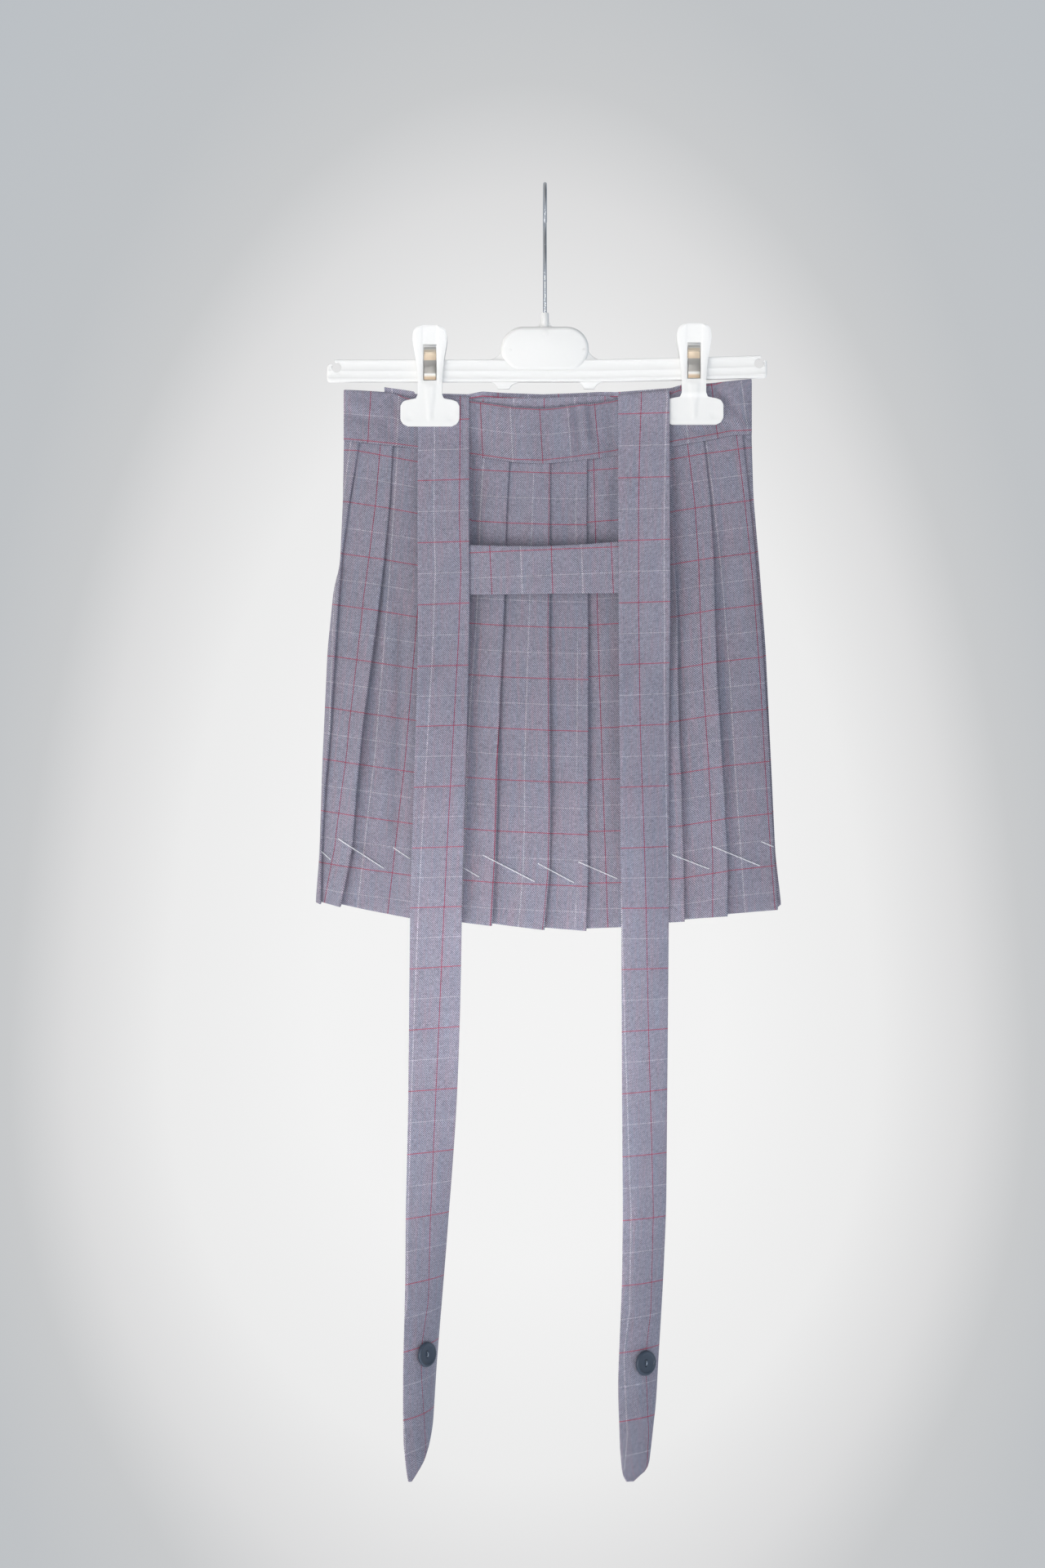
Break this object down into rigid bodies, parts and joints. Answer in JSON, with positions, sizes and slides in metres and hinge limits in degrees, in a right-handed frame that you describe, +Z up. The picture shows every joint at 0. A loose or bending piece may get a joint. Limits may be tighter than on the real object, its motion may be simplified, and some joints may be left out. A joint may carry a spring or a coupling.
{
  "type": "pleated suspender skirt on clip hanger",
  "caption": "Child's checked knife-pleated skirt with hanging buttoned straps and a cross-band, held by a white clip hanger.",
  "frame": {"origin": "where a rail touches the inside of the hanger's hook, at the top of its bend", "axes": "+Z up along the hanging skirt, +X to the right of someone facing its front, -Y out of its front"},
  "size_m": [0.3198, 0.052, 0.8903],
  "materials": {
    "check_cloth": "lilac-grey twill with fine red and white check lines",
    "strap_cloth": "the same twill, cut lengthwise for the straps",
    "dark_button": "dark slate blue, glossy rim and dished middle",
    "white_plastic": "white moulded plastic",
    "hook_steel": "bright plated wire",
    "spring_steel": "flat spring strip"
  },
  "bodies": {
    "root": {"skirt_front": "check_cloth", "skirt_back": "check_cloth", "waistband_front": "check_cloth", "waistband_back": "check_cloth", "waistband_underlap": "check_cloth", "strap_left": "strap_cloth", "strap_right": "strap_cloth", "strap_tail_left": "strap_cloth", "strap_tail_right": "strap_cloth", "cross_band": "strap_cloth", "button_left": "dark_button", "button_right": "dark_button", "hanger_bar": "white_plastic", "hook": "hook_steel", "clip_left_front": "white_plastic", "clip_left_rear": "white_plastic", "clip_right_front": "white_plastic", "clip_right_rear": "white_plastic", "spring_left": "spring_steel", "spring_right": "spring_steel"}
  },
  "joints": []
}
